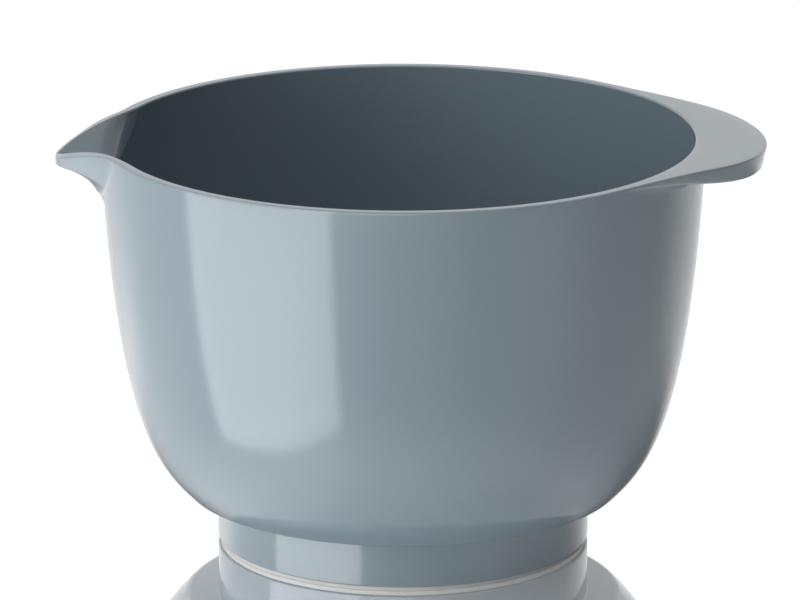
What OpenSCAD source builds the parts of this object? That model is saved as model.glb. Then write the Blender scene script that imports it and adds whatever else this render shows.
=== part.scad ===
// Batter bowl: a moulded mixing bowl with a pouring spout, a handle lip and a foot,
// and a soft ring under the foot that keeps it from sliding.
// Frame: the origin is on the bowl's axis at table level, +X points to the handle lip,
// -X to the spout and +Z up. Lengths are in millimetres and angles in degrees.

/* [Bowl] */
// Outer radius of the rim
rim_r = 110; // [102:1:120]
// Height of the rim above the table
bowl_h = 152; // [135:1:175]
// Thickness of the wall, of the floor and of the spout
wall = 4; // [3:0.25:5]
// Lean of the wall just under the rim, from upright
rim_lean = 2.7; // [1.5:0.1:5]
// Outer radius of the shoulder, where the wall turns under
shoulder_r = 79.4; // [76:0.2:84]
// Lean of the wall just above the shoulder, from upright
shoulder_lean = 42; // [35:0.5:50]
// Reach of the curve that leads the wall into the shoulder
shoulder_pull = 13.7; // [10:0.1:18]

/* [Foot] */
// Outer radius of the foot
foot_r = 68; // [64:0.5:73]
// Height of the foot between the soft ring and the shoulder
foot_h = 18.4; // [14:0.2:24]
// Radial width of the foot
foot_w = 8; // [7.5:0.1:10]
// Chamfer along the lower outer edge of the foot
foot_chamfer = 0.8; // [0.4:0.1:1]

/* [Spout] */
// Reach of the spout's tip past the rim
spout_l = 16.2; // [12:0.2:20]
// Height of the spout's outer sweep, from the rim down
spout_depth = 32; // [28:0.5:37]
// Width of the spout where it leaves the rim
spout_w = 74.4; // [66:0.2:82]
// Angle between each flank and the spout's middle line, seen from above
spout_flank = 50; // [46:0.5:54]
// Lean of the flanks from upright
spout_lean = 14.4; // [10:0.2:18]
// Radius of the curve that bends the flanks in towards the keel
spout_bend_r = 25; // [21:0.5:32]
// Rounding that blends the flanks into the spout's keel
spout_blend = 12; // [9:0.5:14]
// Hollow blend between the spout and the bowl's wall
spout_fillet = 3.2; // [2:0.2:4.4]
// Turn of the curve that bends the spout's edge down
spout_dip = 25; // [18:0.5:28]
// Radius of the curve that bends the spout's edge down
spout_dip_r = 24; // [20:0.5:28]
// How far inside the rim that curve starts
spout_dip_inset = 5.5; // [4:0.5:8]

/* [Handle lip] */
// Reach of the lip past the rim
lip_l = 22; // [18:0.5:26]
// Radius of the lip's rounded end, seen from above
lip_end_r = 64; // [56:1:70]
// Thickness of the lip at its end
lip_t = 8; // [6.5:0.1:9]
// Radius of the slow curve that bends the lip's top down
lip_dip_r = 340; // [280:10:420]
// How far inside the rim that curve starts
lip_dip_inset = 17; // [12:0.5:22]

/* [Non-slip ring] */
// Height of the ring's pad below the foot
ring_h = 2.2; // [1.6:0.1:3]
// Radial width of the pad
ring_w = 6; // [5.4:0.1:6.6]
// Rounding of the pad's lower edges, cut as chamfers
ring_chamfer = 0.5; // [0.3:0.1:0.7]
// Width of the rib that holds the ring in the foot's groove
rib_w = 2.6; // [2:0.1:3]
// Height of the rib
rib_h = 5; // [4:0.2:7]
// Clearance round the rib in its groove
rib_gap = 0.3; // [0.2:0.05:0.4]

/* [Hidden] */
$fn = 96;

// How far cutting tools and stock pass the face that they end at
overrun = 1;
// Depth by which the lip's flanks start inside the rim
lip_sink = 0.3;
// Depth by which the spout's blend ends inside the wall
spout_sink = 0.2;
// Rounding inside the spout, as a share of the one outside
channel_blend_share = 0.5;
// Bend of the flanks inside the spout, as a share of the one outside
channel_bend_share = 0.6;
// Reach of the curve that leads the wall away from the rim, as a share of the wall's height
rim_pull_share = 0.865;
// Inset of the flat floor from the shoulder, as a share of the wall
floor_inset_share = 1.5;
// Reach of the curve that leads the inner wall into the floor, as a share of the outer one's
floor_pull_share = 0.76;
// Angle at which the spout's underside has turned at its tip, and where it first stands proud
sweep_end = 78;
sweep_start = 12;
// Half of the sector, seen from above, that the spout's solids fill
spout_sector = 30;
// Counts of steps along the curves
wall_steps = 26;
spout_columns = 24;
spout_rows = 8;
dip_steps = 6;

// Heights
shoulder_z = ring_h + foot_h;
floor_z = shoulder_z + wall;
stock_top = bowl_h + overrun;
cut_top = stock_top + overrun;

// A point on a cubic curve through four control points, and a step along a leaning line
function cubic(p, t) =
    pow(1 - t, 3) * p[0] + 3 * pow(1 - t, 2) * t * p[1] + 3 * (1 - t) * t * t * p[2] + pow(t, 3) * p[3];
function down(lean, reach) = [-reach * sin(lean), -reach * cos(lean)];
function reversed(list) = [for (i = [len(list) - 1:-1:0]) list[i]];

// Wall curves in radius and height, from the rim down
function wall_curve(rim, low, low_pull) = [
    for (i = [0:wall_steps])
        cubic([rim, rim + down(rim_lean, rim_pull_share * (rim.y - low.y)), low + low_pull, low], i / wall_steps)
];
outer_rim = [rim_r, bowl_h];
shoulder = [shoulder_r, shoulder_z];
outer_curve = wall_curve(outer_rim, shoulder, -down(shoulder_lean, shoulder_pull));
inner_rim = [rim_r - wall, bowl_h];
floor_edge = [shoulder_r - floor_inset_share * wall, floor_z];
inner_curve = wall_curve(inner_rim, floor_edge, [floor_pull_share * shoulder_pull, 0]);

// Foot and groove
foot_in_r = foot_r - foot_w;
seat_r = foot_r - foot_w / 2;
groove_in_r = seat_r - rib_w / 2 - rib_gap;
groove_out_r = seat_r + rib_w / 2 + rib_gap;
groove_top = ring_h + rib_h + rib_gap;

// Spout: the keel sweeps out from the wall along an ellipse, and the flanks bend in towards it
spout_tip_r = rim_r + spout_l;
spout_dip_start = rim_r - spout_dip_inset;
function spout_dip_at(d) =
    d < spout_dip_r * sin(spout_dip)
        ? spout_dip_r - sqrt(spout_dip_r * spout_dip_r - d * d)
        : spout_dip_r * (1 - cos(spout_dip)) + (d - spout_dip_r * sin(spout_dip)) * tan(spout_dip);
function wall_r(drop) = lookup(bowl_h - drop, [for (p = outer_curve) [p.y, p.x]]);
spout_root_r = wall_r(spout_depth);
tip_drop = spout_dip_at(spout_tip_r - spout_dip_start) + wall;
sweep_out = (spout_tip_r - spout_root_r) / (1 - cos(sweep_end));
sweep_up = (spout_depth - tip_drop) / sin(sweep_end);
flank_normal = 90 - spout_flank;
flank_r = rim_r * cos(flank_normal - asin(spout_w / 2 / rim_r));

function smooth_min(a, b, k) =
    let (h = max(0, min(1, 0.5 + (b - a) / k / 2)))
        b * (1 - h) + a * h - k * h * (1 - h);
function smooth_max(a, b, k) = -smooth_min(-a, -b, k);
function flank_at(angle, drop, inset, bend_share) =
    (flank_r - inset - drop * tan(spout_lean) - bend_share * pow(max(0, drop), 2) / spout_bend_r / 2)
        / cos(flank_normal - abs(angle));

// Radius of the spout at an angle, which the blend leaves at the keel's own radius on the middle line
function spout_r(angle, row, inset, share, bend_share) =
    let (
        blend = share * spout_blend,
        middle = flank_at(0, row[1], inset, bend_share),
        gap = max(0, middle - row[0]),
        floor_r = gap < blend ? blend + middle - 2 * sqrt(blend * gap) : row[0]
    )
        smooth_min(floor_r, flank_at(angle, row[1], inset, bend_share), blend);

// Keel of the spout at a turn of its sweep, as radius and drop below the rim, moved in by an inset
function sweep_point(turn, inset) =
    let (run = sweep_up * cos(turn), rise = sweep_out * sin(turn), size = norm([run, rise]))
        [
            spout_root_r + sweep_out * (1 - cos(turn)) - inset * run / size,
            spout_depth - sweep_up * sin(turn) - inset * rise / size
        ];

// Lip: flanks that leave the rim and run to a round end
lip_tip_x = rim_r + lip_l;
lip_end_x = lip_tip_x - lip_end_r;
lip_root_r = rim_r - lip_sink;
lip_turn = acos((lip_root_r - lip_end_r) / lip_end_x);
lip_root_x = lip_root_r * cos(lip_turn);
lip_dip_start = rim_r - lip_dip_inset;
function lip_dip_at(d) = lip_dip_r - sqrt(lip_dip_r * lip_dip_r - d * d);
lip_fall = (lip_dip_at(lip_tip_x - lip_dip_start) + lip_t) / (lip_tip_x - lip_root_x);

// Draws an outline of X and Z points across the whole bowl, along Y
module across_bowl(points)
    rotate([90, 0, 0])
        linear_extrude(height = 2 * (rim_r + overrun), center = true)
            polygon(points);

// A solid in the spout's sector, from a core radius out to a skin that skin_r gives for each angle and row.
// A row holds the radius of the spout's keel and its drop below the rim.
module spout_sector_solid(rows, core_r, skin_r) {
    angles = [for (i = [0:spout_columns]) spout_sector * (2 * i / spout_columns - 1)];
    columns = len(angles);
    last = len(rows) - 1;
    function at(r, angle, drop) = [-r * cos(angle), r * sin(angle), bowl_h - drop];
    function skin(i, j) = j * columns + i;
    function core(i, j) = (last + 1 + j) * columns + i;
    points = concat(
        [for (row = rows, a = angles) at(skin_r(a, row), a, row[1])],
        [for (row = [rows[0], rows[last]], a = angles) at(core_r, a, row[1])]
    );
    steps = [0:columns - 2];
    faces = concat(
        [for (j = [0:last - 1], i = steps) [skin(i + 1, j), skin(i, j), skin(i, j + 1)]],
        [for (j = [0:last - 1], i = steps) [skin(i + 1, j), skin(i, j + 1), skin(i + 1, j + 1)]],
        [for (i = steps) [core(i, 0), core(i + 1, 0), core(i + 1, 1), core(i, 1)]],
        [for (i = steps) [skin(i, 0), skin(i + 1, 0), core(i + 1, 0), core(i, 0)]],
        [for (i = steps) [core(i, 1), core(i + 1, 1), skin(i + 1, last), skin(i, last)]],
        [concat([core(0, 0), core(0, 1)], [for (j = [last:-1:0]) skin(0, j)])],
        [concat([core(columns - 1, 0)], [for (j = [0:last]) skin(columns - 1, j)], [core(columns - 1, 1)])]
    );
    polyhedron(points, faces);
}

// Rows of the spout's surface from above the rim down into the wall
function sweep_rows(inset, foot_row) =
    let (
        turns = [for (k = [0:spout_rows]) sweep_end + (sweep_start - sweep_end) * k / spout_rows],
        tip = sweep_point(sweep_end, inset)
    )
        concat(
            [[tip[0], -overrun], [tip[0], tip[1] / 2]],
            [for (t = turns) sweep_point(t, inset)],
            [foot_row]
        );

module spout_outside()
    spout_sector_solid(
        sweep_rows(0, [spout_root_r - wall, spout_depth + wall]),
        rim_r - wall - wall,
        function(angle, row)
            smooth_max(spout_r(angle, row, 0, 1, 1), wall_r(row[1]) - spout_sink, spout_fillet)
    );

module spout_channel()
    spout_sector_solid(
        sweep_rows(wall, [spout_root_r - wall - wall, spout_depth]),
        rim_r - wall - wall - wall,
        function(angle, row)
            max(
                spout_r(angle, row, wall, channel_blend_share, channel_bend_share),
                rim_r - wall - wall
            )
    );

module lip() {
    tip = lip_tip_x + overrun;
    intersection() {
        linear_extrude(height = stock_top) {
            translate([lip_end_x, 0])
                circle(lip_end_r);
            polygon([
                for (side = [-1, 1], end = side < 0 ? [0, 1] : [1, 0])
                    (end == 0 ? lip_root_r : lip_end_r) * [cos(lip_turn), side * sin(lip_turn)]
                        + [end * lip_end_x, 0]
            ]);
        }
        across_bowl([
            [lip_root_x, bowl_h],
            [tip, bowl_h - lip_fall * (tip - lip_root_x)],
            [tip, stock_top],
            [lip_root_x, stock_top]
        ]);
    }
}

// The wall as a filled form with the hollow foot and the ring's groove
module bowl_stock()
    rotate_extrude()
        polygon(concat(
            [
                [0, shoulder_z],
                [foot_in_r, shoulder_z],
                [foot_in_r, ring_h],
                [groove_in_r, ring_h],
                [groove_in_r, groove_top],
                [groove_out_r, groove_top],
                [groove_out_r, ring_h],
                [foot_r - foot_chamfer, ring_h],
                [foot_r, ring_h + foot_chamfer],
                [foot_r, shoulder_z]
            ],
            reversed(outer_curve),
            [outer_rim - down(rim_lean, overrun / cos(rim_lean)), [0, stock_top]]
        ));

module bowl_inside()
    rotate_extrude()
        polygon(concat(
            [[0, floor_z]],
            reversed(inner_curve),
            [inner_rim - down(rim_lean, (cut_top - bowl_h) / cos(rim_lean)), [0, cut_top]]
        ));

// Everything above the rim line, which is level between the two dips
module above_rim() {
    spout_end = spout_tip_r + overrun;
    spout_turn = spout_dip_r * sin(spout_dip);
    lip_run = lip_tip_x + overrun - lip_dip_start;
    across_bowl(concat(
        [[-spout_end, cut_top], [-spout_end, bowl_h - spout_dip_at(spout_end - spout_dip_start)]],
        [
            for (i = [dip_steps:-1:0])
                let (d = spout_turn * i / dip_steps)
                    [-spout_dip_start - d, bowl_h - spout_dip_at(d)]
        ],
        [
            for (i = [0:dip_steps])
                let (d = lip_run * i / dip_steps)
                    [lip_dip_start + d, bowl_h - lip_dip_at(d)]
        ],
        [[lip_tip_x + overrun, cut_top]]
    ));
}

module bowl_body()
    color("slategray")
        difference() {
            union() {
                bowl_stock();
                spout_outside();
                lip();
            }
            bowl_inside();
            spout_channel();
            above_rim();
        }

module non_slip_ring()
    color("gainsboro")
        rotate_extrude()
            polygon([
                [seat_r - ring_w / 2 + ring_chamfer, 0],
                [seat_r + ring_w / 2 - ring_chamfer, 0],
                [seat_r + ring_w / 2, ring_chamfer],
                [seat_r + ring_w / 2, ring_h],
                [seat_r + rib_w / 2, ring_h],
                [seat_r + rib_w / 2, ring_h + rib_h],
                [seat_r - rib_w / 2, ring_h + rib_h],
                [seat_r - rib_w / 2, ring_h],
                [seat_r - ring_w / 2, ring_h],
                [seat_r - ring_w / 2, ring_chamfer]
            ]);

bowl_body();
non_slip_ring();
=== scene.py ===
import math
from bisect import bisect_left

import bpy
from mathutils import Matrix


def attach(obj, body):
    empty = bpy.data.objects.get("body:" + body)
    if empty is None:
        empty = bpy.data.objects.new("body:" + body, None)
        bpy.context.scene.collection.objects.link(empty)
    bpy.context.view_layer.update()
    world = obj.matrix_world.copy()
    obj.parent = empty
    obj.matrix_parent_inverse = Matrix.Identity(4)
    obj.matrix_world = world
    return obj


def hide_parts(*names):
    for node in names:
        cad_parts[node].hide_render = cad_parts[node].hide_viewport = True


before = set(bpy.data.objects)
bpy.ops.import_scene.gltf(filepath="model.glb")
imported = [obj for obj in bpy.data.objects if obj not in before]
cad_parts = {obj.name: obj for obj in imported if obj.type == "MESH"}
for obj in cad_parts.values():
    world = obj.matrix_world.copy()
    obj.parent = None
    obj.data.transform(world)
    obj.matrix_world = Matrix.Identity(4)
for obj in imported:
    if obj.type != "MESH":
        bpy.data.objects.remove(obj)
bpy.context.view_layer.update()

# Lengths below are in millimetres until they reach a mesh
MM = 0.001
COLUMNS = 360

# Bowl
RIM_R = 110.0
BOWL_H = 152.0
WALL = 4.0
RIM_LEAN = 2.7
RIM_PULL = 0.865
SHOULDER_R = 79.4
SHOULDER_Z = 20.6
SHOULDER_LEAN = 42.0
SHOULDER_PULL = 13.7
SHOULDER_ROUND = 1.6
FLOOR_Z = 24.6
FLOOR_EDGE_R = 73.4
FLOOR_PULL = 10.4
EDGE_ROUND = 0.55
TIP_EDGE_ROUND = 0.3
TIP_EDGE_ANGLE = 10
EDGE_SHARE = 0.3
LOW_EDGE_GAP = 0.3
HIGH_WALL_DROP = 46.0

# Foot, with the groove that holds the ring
FOOT_R = 68.0
FOOT_IN_R = 60.0
FOOT_Z = 1.7
FOOT_ROUND = 0.6
GROOVE_IN_R = 62.4
GROOVE_OUT_R = 65.6
GROOVE_TOP = 7.0
GROOVE_ROUND = 0.3
FOOT_TOP_ROUND = 0.5
HOLLOW_ROUND = 2.0
UNDERSIDE_R = (0.0, 20.0, 40.0)

# Spout
SPOUT_TIP_R = 126.15
SPOUT_DEPTH = 33.5
SPOUT_TIP_DROP = 11.0
SPOUT_SWEEP = 88.0
SPOUT_DIP = 0.476
SPOUT_DIP_START = 110.54
SPOUT_DIP_BLEND = 3.8
FLANK_R = 100.33
FLANK_NORMAL = 42.67
FLANK_LEAN = math.tan(math.radians(14.4))
FLANK_BEND_R = 28.5
FLANK_FLAT = 1.0
CHANNEL_FLAT = 5.2
FLAT_DEPTH = 5.0
FLAT_START = 7.0
FLAT_END = 22.0
TIP_EDGE_DIP = 7.0
EDGE_DIP_FALL = 0.62
KEEL_BLEND = 3.0
KEEL_BLEND_LOW = 13.0
KEEL_ROUND = 4.6
KEEL_ROUND_DROP = 12
KEEL_LOW_START = 4
KEEL_LOW_RUN = 10
WALL_BLEND = 2.0
WALL_BLEND_LOW = 3.4
WALL_BLEND_DROP = 15
CHANNEL_BEND_R = 38.0
CHANNEL_KEEL_BLEND = 5.6
CHANNEL_KEEL_BLEND_LOW = 14.0
CHANNEL_ROUND_DROP = 5.0
CHANNEL_WALL_BLEND = 7.3
CHANNEL_SINK = 0.55
CREASE_COLUMN = 23
CREASE_PLACE = 32
SPOUT_SECTOR = 60
SPOUT_FADE = 20
TIP_SPACING = 0.6
SWEEP_TAIL = (60, 30)
SWEEP_HEAD = 30

# Handle lip
LIP_END_R = 64.0
LIP_END_X = 68.0
LIP_ROOT_X = 80.7
LIP_UNDER = 0.2
LIP_DIP_R = 340.0
LIP_DIP_X = 93.0
LIP_DRAFT = math.tan(math.radians(12))
LIP_FILLET = 4.0
LIP_LOW_ROUND = 1.2
LIP_LEAST = 1.3
LIP_SECTOR = 47.4
LIP_DRAFT_SHARE = 0.5
LIP_FILLET_SHARE = 0.45
LIP_LOW_SHARE = 0.4

# Ring
RING_R = 64.0
RING_W = 6.0
RING_H = 1.7
RIB_W = 2.6
RIB_H = 5.0
RING_LOW_ROUND = 0.4
RING_TOP_ROUND = 0.25
RIB_ROOT_ROUND = 0.3
RIB_TOP_ROUND = 0.6

# Numbers of rows of points along a column of the bowl
LOW_WALL_ROWS = 40
HIGH_WALL_ROWS = 34
FILLET_ROWS = 7
LOW_EDGE_ROWS = 5
EDGE_ROWS = 6
TOP_ROWS = 4
CHANNEL_ROWS = 30
INSIDE_ROWS = 36
FLOOR_ROWS = 8

# How rows crowd together, and how finely curves are sampled
ROW_CROWDING = 1.4
CHANNEL_CROWDING = 1.5
CURVE_STEPS = 400
SHOULDER_STEPS = 12
SWEEP_STEPS = 160
CREASE_STEPS = 120
TRACK_STEPS = 240
TOP_STEPS = 60
CORNER_STEPS = 4
RING_CORNER_STEPS = 5
SOLVE_STEPS = 50
LIP_ROOT_TRIES = 4

# Limits between which values are searched for
RIM_DROP_MOST = 20.0
CHANNEL_LOW_RANGE = (5.0, 60.0)
TIP_RUN_MOST = 30.0
FIRST_ROW_MOST = 0.5

# Finishing of a mesh: merging in metres, smoothing in degrees
MERGE_GAP = 0.000002
SMOOTH_ANGLE = 32
KEYS_PER_MM = 100

# Places of the outputs of nodes
GENERATED, OBJECT = 0, 3
CAMERA_RAY, GLOSSY_RAY, TRANSMISSION_RAY = 0, 3, 6

# Table, in metres
TABLE_SIZE = 12
TABLE_GLOW = 0.5
TABLE_MIRROR = 0.83

# Lights: name, place, target, width, height, power in watts, and whether mirrored rays see it
LIGHTS = [
    ("left_softbox", (-0.705, -0.475, 0.34), (0, 0, 0.34), 0.98, 0.5, 5.0, True),
    ("top_softbox", (0, 0, 1.5), (0, 0.001, 0), 0.6, 0.6, 9.6, False),
    ("front_card", (-0.25, -0.95, 0.06), (0, 0, 0.06), 0.8, 0.11, 1.2, True),
]

# Camera, with its place in metres, its angles in degrees and its lens in pixels of the picture
CAMERA_PLACE = (0, -2.2622, 0.7279)
CAMERA_DOWN = 15.752
CAMERA_SWING = 0.0281
FOCAL_PIXELS = 6437
PICTURE_W = 800
SENSOR_W = 36
CLIP_END = 50


# Plain curves

def between(a, b, t):
    return tuple(p + (q - p) * t for p, q in zip(a, b))


def distance(a, b):
    return math.dist(a, b)


def toward(a, b, reach):
    gap = distance(a, b)
    return between(a, b, reach / gap) if gap > 1e-9 else a


def cubic(p, t):
    s = 1 - t
    return tuple(
        s ** 3 * a + 3 * s * s * t * b + 3 * s * t * t * c + t ** 3 * d for a, b, c, d in zip(*p)
    )


def rounded(before, corner, after, steps):
    """Points of a round corner that starts at before and ends at after."""
    u = [p - q for p, q in zip(corner, before)]
    v = [p - q for p, q in zip(after, corner)]
    size = math.hypot(*u) * math.hypot(*v)
    along = sum(p * q for p, q in zip(u, v)) / size if size > 1e-12 else 1.0
    weight = math.cos(math.acos(max(-1.0, min(1.0, along))) / 2)
    points = []
    for i in range(steps + 1):
        t = i / steps
        a, b, c = (1 - t) ** 2, 2 * weight * t * (1 - t), t * t
        points.append(tuple(
            (a * p + b * q + c * r) / (a + b + c) for p, q, r in zip(before, corner, after)
        ))
    return points


def round_corner(before, corner, after, size, steps):
    """A corner between two others, rounded from as far as size before it to as far after it."""
    return rounded(toward(corner, before, size), corner, toward(corner, after, size), steps)


def unit(value):
    """The value, kept between 0 and 1."""
    return max(0.0, min(1.0, value))


def smooth_min(a, b, k):
    h = unit(0.5 + (b - a) / k / 2)
    return b * (1 - h) + a * h - k * h * (1 - h)


def smooth_max(a, b, k):
    return -smooth_min(-a, -b, k)


class Track:
    """A curve sampled finely, so that points can be taken at distances along it."""

    def __init__(self, points):
        self.points = points
        self.runs = [0.0]
        for a, b in zip(points, points[1:]):
            self.runs.append(self.runs[-1] + distance(a, b))
        self.length = self.runs[-1]

    def at(self, run):
        run = max(0.0, min(self.length, run))
        i = max(1, bisect_left(self.runs, run))
        a, b = self.runs[i - 1], self.runs[i]
        return between(self.points[i - 1], self.points[i], (run - a) / (b - a) if b > a else 0.0)

    def spread(self, steps):
        return [self.at(self.length * i / steps) for i in range(steps + 1)]


def lookup(table, key):
    i = max(1, min(len(table) - 1, bisect_left(table, (key,))))
    (a, p), (b, q) = table[i - 1], table[i]
    return p + (q - p) * (key - a) / (b - a)


# Wall of the bowl, as radius against height

def leaning(point, lean, reach):
    angle = math.radians(lean)
    return (point[0] - reach * math.sin(angle), point[1] - reach * math.cos(angle))


def wall_curve(rim, low, low_handle):
    handles = (rim, leaning(rim, RIM_LEAN, RIM_PULL * (rim[1] - low[1])), low_handle, low)
    return [cubic(handles, i / CURVE_STEPS) for i in range(CURVE_STEPS + 1)]


SHOULDER = (SHOULDER_R, SHOULDER_Z)
OUTER = wall_curve((RIM_R, BOWL_H), SHOULDER, leaning(SHOULDER, SHOULDER_LEAN, -SHOULDER_PULL))
INNER = wall_curve(
    (RIM_R - WALL, BOWL_H), (FLOOR_EDGE_R, FLOOR_Z), (FLOOR_EDGE_R + FLOOR_PULL, FLOOR_Z)
)
OUTER_TABLE = sorted((z, r) for r, z in OUTER)
INNER_TABLE = sorted((z, r) for r, z in INNER)


def outer_r(drop):
    return lookup(OUTER_TABLE, BOWL_H - drop)


def inner_r(drop):
    return lookup(INNER_TABLE, BOWL_H - drop)


# Spout. Angles are in degrees from its middle line and drops are below the rim

SPOUT_ROOT_R = outer_r(SPOUT_DEPTH)
SWEEP_OUT = (SPOUT_TIP_R - SPOUT_ROOT_R) / (1 - math.cos(math.radians(SPOUT_SWEEP)))
SWEEP_UP = (SPOUT_DEPTH - SPOUT_TIP_DROP) / math.sin(math.radians(SPOUT_SWEEP))


def sweep_table(inset):
    """Drop and radius of the spout's keel, moved in along its normal."""
    table = []
    for i in range(SWEEP_STEPS + 1):
        turn = math.radians(SPOUT_SWEEP * i / SWEEP_STEPS)
        run, rise = SWEEP_UP * math.cos(turn), SWEEP_OUT * math.sin(turn)
        size = math.hypot(run, rise)
        table.append((
            SPOUT_DEPTH - SWEEP_UP * math.sin(turn) - inset * rise / size,
            SPOUT_ROOT_R + SWEEP_OUT * (1 - math.cos(turn)) - inset * run / size,
        ))
    low_drop, low_r = table[0]
    table.append((low_drop + SWEEP_TAIL[0], low_r - SWEEP_TAIL[1]))
    high_drop, high_r = table[SWEEP_STEPS]
    table.append((high_drop - SWEEP_HEAD, high_r))
    return sorted(table)


SWEEP = sweep_table(0)
CHANNEL = sweep_table(WALL)


def edge_dip(angle):
    return smooth_max(TIP_EDGE_DIP - EDGE_DIP_FALL * angle, 0.0, SPOUT_DIP_BLEND)


def flank_r(angle, drop, inset, bend_r, flat):
    """Radius of a flank, which is flatter near the tip by as much as flat."""
    reach = FLANK_R - inset - drop * FLANK_LEAN - max(0.0, drop) ** 2 / bend_r / 2
    share = unit((FLAT_END - angle) / (FLAT_END - FLAT_START))
    depth = max(0.0, drop - edge_dip(angle))
    reach -= flat * share * share * (3 - 2 * share) * (1 - math.exp(-depth / FLAT_DEPTH))
    return reach / math.cos(math.radians(FLANK_NORMAL - angle))


def keeled_r(angle, drop, sweep, inset, bend_r, flat, blend):
    """Flanks blended into the keel, which keeps its own radius on the middle line."""
    soft = KEEL_ROUND * unit((drop - SPOUT_TIP_DROP) / KEEL_ROUND_DROP)
    keel = lookup(sweep, drop)
    middle = flank_r(soft, drop, inset, bend_r, flat)
    gap = max(0.0, middle - keel)
    floor = blend + middle - 2 * math.sqrt(blend * gap) if gap < blend else keel
    return smooth_min(floor, flank_r(math.hypot(angle, soft), drop, inset, bend_r, flat), blend)


def spout_outside_r(angle, drop):
    if angle > FLANK_NORMAL:
        return outer_r(drop)
    low = unit((drop - SPOUT_TIP_DROP + KEEL_LOW_START) / KEEL_LOW_RUN)
    blend = KEEL_BLEND + (KEEL_BLEND_LOW - KEEL_BLEND) * low
    spout = keeled_r(angle, drop, SWEEP, 0.0, FLANK_BEND_R, FLANK_FLAT, blend)
    wall_blend = WALL_BLEND + (WALL_BLEND_LOW - WALL_BLEND) * min(1.0, drop / WALL_BLEND_DROP)
    return smooth_max(spout, outer_r(drop), wall_blend)


def channel_r(angle, drop):
    round_off = 1 - math.exp(min(0.0, edge_dip(angle) - drop) / CHANNEL_ROUND_DROP)
    blend = CHANNEL_KEEL_BLEND + (CHANNEL_KEEL_BLEND_LOW - CHANNEL_KEEL_BLEND) * round_off
    channel = keeled_r(angle, drop, CHANNEL, WALL, CHANNEL_BEND_R, CHANNEL_FLAT, blend)
    return smooth_max(channel, inner_r(drop) - CHANNEL_SINK, CHANNEL_WALL_BLEND)


def solve(low, high, test):
    """The value between low and high where test turns from true to false."""
    for _ in range(SOLVE_STEPS):
        middle = (low + high) / 2
        low, high = (middle, high) if test(middle) else (low, middle)
    return low


def rim_drop(angle, surface_r):
    """How far the rim, which dips towards the tip, has dropped where a surface meets it."""
    def dip(drop):
        ahead = surface_r(angle, drop) * math.cos(math.radians(angle))
        return smooth_max(SPOUT_DIP * (ahead - SPOUT_DIP_START), 0.0, SPOUT_DIP_BLEND)

    return solve(0.0, RIM_DROP_MOST, lambda drop: dip(drop) > drop)


CHANNEL_LOW = solve(*CHANNEL_LOW_RANGE, lambda drop: channel_r(0.0, drop) > inner_r(drop))


def crease_at(drop):
    """Angle at which the channel comes out of the inner wall."""
    return solve(0.0, FLANK_NORMAL, lambda angle: channel_r(angle, drop) > inner_r(drop))


CREASE_DROPS = [CHANNEL_LOW * (1 - (1 - i / CREASE_STEPS) ** 2) for i in range(CREASE_STEPS)]
CREASE = [(drop, crease_at(drop)) for drop in CREASE_DROPS]
CREASE.append((CHANNEL_LOW, 0.0))


def polar(r, angle, drop):
    a = math.radians(angle)
    return (-r * math.cos(a), r * math.sin(a), BOWL_H - drop)


# Columns of the bowl's skin, from the middle of the underside to the middle of the floor

def foot_profile():
    corners = [
        ((FOOT_IN_R, SHOULDER_Z), HOLLOW_ROUND),
        ((FOOT_IN_R, FOOT_Z), FOOT_ROUND),
        ((GROOVE_IN_R, FOOT_Z), GROOVE_ROUND),
        ((GROOVE_IN_R, GROOVE_TOP), GROOVE_ROUND),
        ((GROOVE_OUT_R, GROOVE_TOP), GROOVE_ROUND),
        ((GROOVE_OUT_R, FOOT_Z), GROOVE_ROUND),
        ((FOOT_R, FOOT_Z), FOOT_ROUND),
        ((FOOT_R, SHOULDER_Z), FOOT_TOP_ROUND),
        (SHOULDER, SHOULDER_ROUND),
    ]
    points = [(r, SHOULDER_Z) for r in UNDERSIDE_R]
    ends = [points[0]] + [c for c, _ in corners] + [OUTER[-SHOULDER_STEPS]]
    for before, (corner, size), after in zip(ends, corners, ends[2:]):
        points += round_corner(before, corner, after, size, CORNER_STEPS)
    return points


FOOT = foot_profile()
LOW_WALL = Track(
    [FOOT[-1]] + [p for p in reversed(OUTER) if FOOT[-1][1] < p[1] < BOWL_H - HIGH_WALL_DROP]
    + [(outer_r(HIGH_WALL_DROP), BOWL_H - HIGH_WALL_DROP)]
).spread(LOW_WALL_ROWS)[1:]
INSIDE = Track(
    [(inner_r(CHANNEL_LOW), BOWL_H - CHANNEL_LOW)]
    + [p for p in INNER if p[1] < BOWL_H - CHANNEL_LOW]
).spread(INSIDE_ROWS)[1:]
FLOOR = [(FLOOR_EDGE_R * (1 - i / FLOOR_ROWS), FLOOR_Z) for i in range(1, FLOOR_ROWS + 1)]


def turned(points, angle):
    return [polar(r, angle, BOWL_H - z) for r, z in points]


def channel_levels(edge_drop, first):
    """Drops of the rows below the rounding of the inner edge."""
    levels = []
    for j in range(1, CHANNEL_ROWS + 1):
        share = first + (1 - first) * (j / CHANNEL_ROWS) ** CHANNEL_CROWDING
        levels.append(edge_drop + (CHANNEL_LOW - edge_drop) * share)
    return levels


def inner_angle(angle, drop):
    """Angle of an inner column, so that one column follows the crease of the channel."""
    crease = lookup(CREASE, drop)
    if angle <= CREASE_COLUMN:
        return crease * angle / CREASE_COLUMN
    if angle < SPOUT_SECTOR:
        share = (angle - CREASE_COLUMN) / (SPOUT_SECTOR - CREASE_COLUMN)
        return crease + share * (SPOUT_SECTOR - crease)
    return angle


def inner_point(angle, drop):
    place = inner_angle(angle, drop)
    r = channel_r(place, drop) if angle < CREASE_COLUMN else inner_r(drop)
    return polar(r, place, drop)


def edge_round(angle):
    return TIP_EDGE_ROUND + (EDGE_ROUND - TIP_EDGE_ROUND) * min(1.0, angle / TIP_EDGE_ANGLE)


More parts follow.
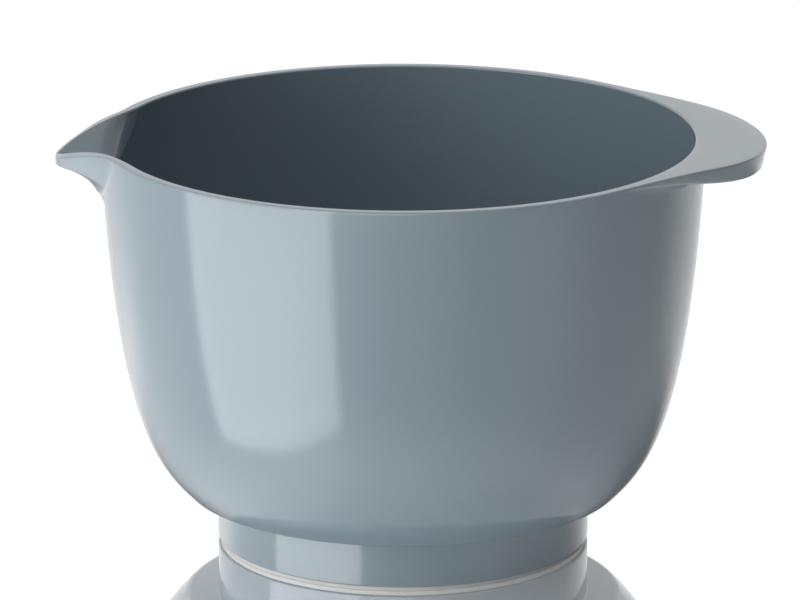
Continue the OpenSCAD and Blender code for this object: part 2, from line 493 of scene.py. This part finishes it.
def inner_side(angle, edge_drop):
    """The inner edge, the end of its rounding, and the points below it."""
    def at(share):
        return inner_point(angle, edge_drop + (CHANNEL_LOW - edge_drop) * share)

    edge = at(0.0)
    first = solve(0.0, FIRST_ROW_MOST, lambda share: distance(edge, at(share)) < edge_round(angle))
    rows = [inner_point(angle, drop) for drop in channel_levels(edge_drop, first)]
    low_angle = inner_angle(angle, CHANNEL_LOW)
    return edge, at(first), rows + turned(INSIDE, low_angle) + turned(FLOOR, low_angle)


def spout_column(angle):
    """A column of the plain wall or of the spout."""
    edge_drop = rim_drop(angle, spout_outside_r)
    drops = [
        edge_drop + (HIGH_WALL_DROP - edge_drop) * (i / TRACK_STEPS) ** 2
        for i in range(TRACK_STEPS + 1)
    ]
    track = Track([polar(spout_outside_r(angle, drop), angle, drop) for drop in drops])
    size = edge_round(angle)
    low_edge = size + LOW_EDGE_GAP
    tip_run = solve(0.0, TIP_RUN_MOST, lambda run: track.at(run)[2] > BOWL_H - SPOUT_TIP_DROP)
    plain_run = LIP_LEAST + LIP_FILLET
    spout_share = unit((SPOUT_SECTOR - angle) / SPOUT_FADE)
    fillet_end = plain_run + (tip_run - plain_run) * spout_share
    column = turned(FOOT, angle) + turned(LOW_WALL, angle)
    for i in range(1, HIGH_WALL_ROWS + 1):
        share = (1 - i / HIGH_WALL_ROWS) ** ROW_CROWDING
        column.append(track.at(fillet_end + (track.length - fillet_end) * share))
    for i in range(1, FILLET_ROWS + 1):
        column.append(track.at(fillet_end + (LIP_LEAST - fillet_end) * i / FILLET_ROWS))
    for i in range(1, LOW_EDGE_ROWS + 1):
        column.append(track.at(LIP_LEAST + (low_edge - LIP_LEAST) * i / LOW_EDGE_ROWS))
    outer = track.at(0.0)
    inner, inner_end, inner_rows = inner_side(angle, rim_drop(inner_angle(angle, 0.0), channel_r))
    top_size = min(size, EDGE_SHARE * distance(outer, inner))
    top_start = toward(outer, inner, top_size)
    top_end = toward(inner, outer, top_size)
    column += rounded(track.at(size), outer, top_start, EDGE_ROWS)
    column += [between(top_start, top_end, i / (TOP_ROWS + 1)) for i in range(1, TOP_ROWS + 1)]
    column += rounded(top_end, inner, inner_end, EDGE_ROWS)
    return column + inner_rows


def lip_reach(angle):
    turn = math.acos((RIM_R - LIP_END_R) / LIP_END_X)
    a = math.radians(angle)
    touch = math.atan2(LIP_END_R * math.sin(turn), LIP_END_X + LIP_END_R * math.cos(turn))
    if a > touch:
        return RIM_R / math.cos(turn - a)
    return LIP_END_X * math.cos(a) + math.sqrt(LIP_END_R ** 2 - (LIP_END_X * math.sin(a)) ** 2)


def lip_dip(x):
    return LIP_DIP_R - math.sqrt(LIP_DIP_R ** 2 - (x - LIP_DIP_X) ** 2) if x > LIP_DIP_X else 0.0


def lip_column(angle):
    """A column through the handle lip, at an angle from its middle line."""
    across = math.cos(math.radians(angle))
    reach = lip_reach(angle)
    high = (reach, BOWL_H - lip_dip(reach * across))
    thick = LIP_UNDER * (reach * across - LIP_ROOT_X) - lip_dip(reach * across)
    thick = math.hypot(max(0.0, thick), LIP_LEAST)
    proud = reach - outer_r(thick)
    low = (reach - min(LIP_DRAFT * thick, LIP_DRAFT_SHARE * proud), high[1] - thick)
    root_z = low[1]
    for _ in range(LIP_ROOT_TRIES):
        root_r = outer_r(BOWL_H - root_z)
        root_z = low[1] + LIP_UNDER * across * (low[0] - root_r)
    root = (outer_r(BOWL_H - root_z), root_z)
    under = distance(root, low)
    side = distance(low, high)
    fillet_start = (outer_r(BOWL_H - root_z + LIP_FILLET), root_z - LIP_FILLET)

    start_drop = BOWL_H - fillet_start[1]
    rows = []
    for i in range(1, HIGH_WALL_ROWS + 1):
        drop = start_drop + (HIGH_WALL_DROP - start_drop) * (1 - i / HIGH_WALL_ROWS) ** ROW_CROWDING
        rows.append((outer_r(drop), BOWL_H - drop))
    fillet_end = toward(root, low, min(LIP_FILLET, LIP_FILLET_SHARE * under))
    rows += rounded(fillet_start, root, fillet_end, FILLET_ROWS)[1:]
    low_size = min(LIP_LOW_ROUND, LIP_LOW_SHARE * (side - EDGE_ROUND))
    low_start = toward(low, root, min(low_size, LIP_LOW_SHARE * under))
    rows += rounded(low_start, low, toward(low, high, low_size), LOW_EDGE_ROWS - 1)
    top = Track([
        (r, BOWL_H - lip_dip(r * across))
        for r in (reach + (RIM_R - WALL - reach) * i / TOP_STEPS for i in range(TOP_STEPS + 1))
    ])
    rows += rounded(toward(high, low, EDGE_ROUND), high, top.at(EDGE_ROUND), EDGE_ROWS)
    flat = top.length - 2 * EDGE_ROUND
    rows += [top.at(EDGE_ROUND + flat * i / (TOP_ROWS + 1)) for i in range(1, TOP_ROWS + 1)]
    inner_drop = lip_dip((RIM_R - WALL) * across)
    place = 180.0 - angle
    inner, inner_end, inner_rows = inner_side(place, inner_drop)
    top_r, top_z = top.at(top.length - EDGE_ROUND)
    inner_start = polar(top_r, place, BOWL_H - top_z)
    column = turned(FOOT, place) + turned(LOW_WALL, place) + turned(rows, place)
    return column + rounded(inner_start, inner, inner_end, EDGE_ROWS) + inner_rows


def spout_angle(place):
    """Angle of a column on the spout's side. Columns are closer together towards the tip."""
    if place <= CREASE_PLACE:
        share = place / CREASE_PLACE
        return CREASE_COLUMN * share * (TIP_SPACING + (1 - TIP_SPACING) * share)
    if place < SPOUT_SECTOR:
        share = (place - CREASE_PLACE) / (SPOUT_SECTOR - CREASE_PLACE)
        return CREASE_COLUMN + (SPOUT_SECTOR - CREASE_COLUMN) * share
    return place


def bowl_columns():
    half = []
    for c in range(COLUMNS // 2 + 1):
        angle = 360.0 * c / COLUMNS
        if angle < LIP_SECTOR:
            half.append(lip_column(angle))
        else:
            half.append(spout_column(spout_angle(180.0 - angle)))
    mirrored = [[(x, -y, z) for x, y, z in half[c]] for c in range(COLUMNS // 2 - 1, 0, -1)]
    return half + mirrored


# Modelling

def start_piece(name):
    bpy.ops.object.select_all(action="DESELECT")
    bpy.ops.mesh.primitive_plane_add(size=0.01)
    piece = bpy.context.object
    piece.name = name
    piece.data.name = name
    bpy.ops.object.mode_set(mode="EDIT")
    bpy.ops.mesh.select_all(action="SELECT")
    bpy.ops.mesh.merge(type="CENTER")
    bpy.ops.object.mode_set(mode="OBJECT")
    bpy.ops.object.mode_set(mode="EDIT")
    return piece


def turn_profile(name, profile, closed):
    """Draws a profile of radius and height point by point, and spins it round the bowl's axis."""
    piece = start_piece(name)
    bpy.ops.transform.translate(value=(profile[0][0] * MM, 0, profile[0][1] * MM))
    for (r, z), (next_r, next_z) in zip(profile, profile[1:]):
        bpy.ops.mesh.extrude_vertices_move(
            TRANSFORM_OT_translate={"value": ((next_r - r) * MM, 0, (next_z - z) * MM)}
        )
    bpy.ops.mesh.select_all(action="SELECT")
    if closed:
        bpy.ops.mesh.edge_face_add()
        bpy.ops.mesh.delete(type="ONLY_FACE")
        bpy.ops.mesh.select_all(action="SELECT")
    bpy.ops.object.mode_set(mode="OBJECT")
    row = piece.data.attributes.new("row", "INT", "POINT")
    row.data.foreach_set("value", range(len(piece.data.vertices)))
    bpy.ops.object.mode_set(mode="EDIT")
    bpy.ops.mesh.select_all(action="SELECT")
    bpy.ops.mesh.spin(steps=COLUMNS, angle=math.tau, center=(0, 0, 0), axis=(0, 0, 1))
    bpy.ops.object.mode_set(mode="OBJECT")
    return piece


def finish_piece(piece, body, node, material):
    bpy.ops.object.mode_set(mode="EDIT")
    bpy.ops.mesh.select_all(action="SELECT")
    bpy.ops.mesh.remove_doubles(threshold=MERGE_GAP)
    bpy.ops.mesh.normals_make_consistent(inside=False)
    bpy.ops.object.mode_set(mode="OBJECT")
    piece.data.attributes.remove(piece.data.attributes["row"])
    bpy.ops.object.shade_smooth_by_angle(angle=math.radians(SMOOTH_ANGLE))
    piece.data.materials.clear()
    piece.data.materials.append(material)
    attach(piece, body)
    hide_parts(node)


def make_bowl(material):
    columns = bowl_columns()
    plain = columns[COLUMNS // 4]
    piece = turn_profile("bowl", [(math.hypot(x, y), z) for x, y, z in plain], False)
    mesh = piece.data
    rows = mesh.attributes["row"].data
    for vertex in mesh.vertices:
        angle = math.degrees(math.atan2(vertex.co.y, vertex.co.x))
        x, y, z = columns[round(angle * COLUMNS / 360) % COLUMNS][rows[vertex.index].value]
        vertex.co = (x * MM, y * MM, z * MM)
    finish_piece(piece, "bowl", "bowl_body", material)

    # A crisp crease where the channel meets the inner wall
    crease = set()
    first = len(plain) - FLOOR_ROWS - INSIDE_ROWS - CHANNEL_ROWS
    for column in (COLUMNS // 2 - CREASE_PLACE, COLUMNS // 2 + CREASE_PLACE):
        for point in columns[column][first - 1:first + CHANNEL_ROWS]:
            crease.add(tuple(round(v * KEYS_PER_MM) for v in point))
    near = [
        tuple(round(v / MM * KEYS_PER_MM) for v in vertex.co) in crease for vertex in mesh.vertices
    ]
    for edge in mesh.edges:
        if near[edge.vertices[0]] and near[edge.vertices[1]]:
            edge.use_edge_sharp = True


def make_ring(material):
    half, rib = RING_W / 2, RIB_W / 2
    corners = [
        ((RING_R - half, 0.0), RING_LOW_ROUND),
        ((RING_R + half, 0.0), RING_LOW_ROUND),
        ((RING_R + half, RING_H), RING_TOP_ROUND),
        ((RING_R + rib, RING_H), RIB_ROOT_ROUND),
        ((RING_R + rib, RING_H + RIB_H), RIB_TOP_ROUND),
        ((RING_R - rib, RING_H + RIB_H), RIB_TOP_ROUND),
        ((RING_R - rib, RING_H), RIB_ROOT_ROUND),
        ((RING_R - half, RING_H), RING_TOP_ROUND),
    ]
    profile = []
    for i, (corner, size) in enumerate(corners):
        before, after = corners[i - 1][0], corners[(i + 1) % len(corners)][0]
        profile += round_corner(before, corner, after, size, RING_CORNER_STEPS)
    piece = turn_profile("ring", profile, True)
    finish_piece(piece, "ring", "non_slip_ring", material)


# Materials

class Wire:
    """A socket whose arithmetic adds Math nodes."""

    def __init__(self, shader, socket):
        self.shader = shader
        self.socket = socket

    def maths(self, operation, a, b):
        return self.shader.node("ShaderNodeMath", {"operation": operation}, {0: a, 1: b})[0]

    def __add__(self, other):
        return self.maths("ADD", self, other)

    def __rsub__(self, other):
        return self.maths("SUBTRACT", other, self)

    def __mul__(self, other):
        return self.maths("MULTIPLY", self, other)


class Shader:
    """A node tree, with one method that adds any node."""

    def __init__(self, tree):
        self.tree = tree
        tree.nodes.clear()

    def node(self, kind, settings=None, inputs=None):
        node = self.tree.nodes.new(kind)
        for name, value in (settings or {}).items():
            setattr(node, name, value)
        for name, value in (inputs or {}).items():
            if isinstance(value, Wire):
                self.tree.links.new(value.socket, node.inputs[name])
            else:
                node.inputs[name].default_value = value
        return [Wire(self, socket) for socket in node.outputs if socket.enabled]


def new_material(name):
    material = bpy.data.materials.new(name)
    material.use_nodes = True
    return material, Shader(material.node_tree)


def blotches(shader, place, scale, detail):
    return shader.node(
        "ShaderNodeTexNoise",
        None,
        {"Vector": place, "Scale": scale, "Detail": detail, "Roughness": 0.55},
    )[0]


def melamine_material():
    material, shader = new_material("grey_blue_melamine")
    place = shader.node("ShaderNodeTexCoord")[OBJECT]
    cloud = blotches(shader, place, 14.0, 3.0)
    speckle = blotches(shader, place, 900.0, 2.0)
    peel = blotches(shader, place, 420.0, 1.0)
    smear = blotches(shader, place, 45.0, 4.0)
    tone = cloud * 0.7 + speckle * 0.3
    colour = shader.node(
        "ShaderNodeMix",
        {"data_type": "RGBA"},
        {"Factor": tone, "A": (0.196, 0.256, 0.292, 1), "B": (0.216, 0.278, 0.316, 1)},
    )
    bump = shader.node(
        "ShaderNodeBump", None, {"Strength": 0.03, "Distance": 0.0004, "Height": peel}
    )[0]
    surface = shader.node(
        "ShaderNodeBsdfPrincipled",
        None,
        {
            "Base Color": colour[0],
            "Roughness": smear * 0.06 + 0.1,
            "IOR": 1.6,
            "Normal": bump,
        },
    )[0]
    shader.node("ShaderNodeOutputMaterial", None, {"Surface": surface})
    return material


def rubber_material():
    material, shader = new_material("off_white_rubber")
    place = shader.node("ShaderNodeTexCoord")[OBJECT]
    cloud = blotches(shader, place, 60.0, 3.0)
    grain = blotches(shader, place, 2600.0, 2.0)
    colour = shader.node(
        "ShaderNodeMix",
        {"data_type": "RGBA"},
        {"Factor": cloud * 0.6 + grain * 0.4, "A": (0.5, 0.5, 0.49, 1), "B": (0.58, 0.58, 0.57, 1)},
    )
    bump = shader.node(
        "ShaderNodeBump", None, {"Strength": 0.15, "Distance": 0.0002, "Height": grain}
    )[0]
    surface = shader.node(
        "ShaderNodeBsdfPrincipled",
        None,
        {
            "Base Color": colour[0],
            "Roughness": grain * 0.1 + 0.45,
            "Normal": bump,
        },
    )[0]
    shader.node("ShaderNodeOutputMaterial", None, {"Surface": surface})
    return material


# Stage

def floor_material():
    material, shader = new_material("polished_white_table")
    seen = shader.node("ShaderNodeLightPath")[CAMERA_RAY]
    matt = shader.node("ShaderNodeBsdfDiffuse", None, {"Color": (0.9, 0.9, 0.9, 1)})[0]
    glow = shader.node("ShaderNodeEmission", None, {"Strength": seen * TABLE_GLOW})[0]
    white = shader.node("ShaderNodeAddShader", None, {0: matt, 1: glow})[0]
    gloss = shader.node("ShaderNodeBsdfGlossy", None, {"Color": (1, 1, 1, 1), "Roughness": 0.02})[0]
    surface = shader.node("ShaderNodeMixShader", None, {0: TABLE_MIRROR, 1: white, 2: gloss})[0]
    shader.node("ShaderNodeOutputMaterial", None, {"Surface": surface})
    return material


def make_floor():
    bpy.ops.object.select_all(action="DESELECT")
    bpy.ops.mesh.primitive_plane_add(size=TABLE_SIZE)
    floor = bpy.context.object
    floor.name = "table"
    floor.data.materials.append(floor_material())


def ramp(shader, value, start, end, low, high):
    """A smooth step, which is low where the value is start and high where it is end."""
    return shader.node(
        "ShaderNodeMapRange",
        {"interpolation_type": "SMOOTHSTEP"},
        {"Value": value, "From Min": start, "From Max": end, "To Min": low, "To Max": high},
    )[0]


def light_world():
    world = bpy.data.worlds.new("studio")
    bpy.context.scene.world = world
    world.use_nodes = True
    shader = Shader(world.node_tree)
    path = shader.node("ShaderNodeLightPath")
    aside, ahead, above = shader.node(
        "ShaderNodeSeparateXYZ", None, {0: shader.node("ShaderNodeTexCoord")[GENERATED]}
    )
    behind = ramp(shader, ahead, 0.4, 0.85, 0.0, 1.0)
    backdrop = behind * ramp(shader, above, 0.33, 0.42, 1.1, 0.15)
    low_band = ramp(shader, above, 0.26, 0.38, 1.0, 0.0)
    horizon = (1 - behind) * low_band * ramp(shader, aside, 0.2, 0.5, 1.0, 0.45)
    left_wall = ramp(shader, aside, -0.1, -0.7, 0.0, 1.35)
    right_wall = ramp(shader, aside, 0.4, 0.9, 0.0, 0.72)
    front_wall = ramp(shader, ahead, -0.1, -0.7, 0.0, 0.46)
    raised = ramp(shader, above, 0.24, 0.4, 0.0, 1.0)
    ceiling = ramp(shader, above, 0.5, 0.75, 0.0, 0.8)
    studio = backdrop + horizon + raised * (left_wall + right_wall + front_wall) + ceiling
    strength = path[CAMERA_RAY] + (path[GLOSSY_RAY] + path[TRANSMISSION_RAY]) * studio
    background = shader.node(
        "ShaderNodeBackground", None, {"Color": (1, 1, 1, 1), "Strength": strength}
    )[0]
    shader.node("ShaderNodeOutputWorld", None, {"Surface": background})


def softbox(name, place, target, width, height, power, mirrored):
    bpy.ops.object.select_all(action="DESELECT")
    bpy.ops.object.light_add(type="AREA", location=place)
    lamp = bpy.context.object
    lamp.name = name
    lamp.data.shape = "RECTANGLE"
    lamp.data.size = width
    lamp.data.size_y = height
    lamp.data.energy = power
    lamp.visible_glossy = mirrored
    ahead = [t - p for t, p in zip(target, place)]
    flat = math.hypot(ahead[0], ahead[1])
    lamp.rotation_euler = (math.atan2(flat, -ahead[2]), 0, math.atan2(-ahead[0], ahead[1]))


def make_camera():
    bpy.ops.object.select_all(action="DESELECT")
    bpy.ops.object.camera_add(
        location=CAMERA_PLACE,
        rotation=(math.radians(90 - CAMERA_DOWN), 0, math.radians(CAMERA_SWING)),
    )
    camera = bpy.context.object
    camera.data.sensor_width = SENSOR_W
    camera.data.lens = FOCAL_PIXELS * SENSOR_W / PICTURE_W
    camera.data.clip_end = CLIP_END
    bpy.context.scene.camera = camera


make_camera()
make_bowl(melamine_material())
make_ring(rubber_material())
make_floor()
light_world()
for light in LIGHTS:
    softbox(*light)

bpy.context.scene.view_settings.view_transform = "Standard"
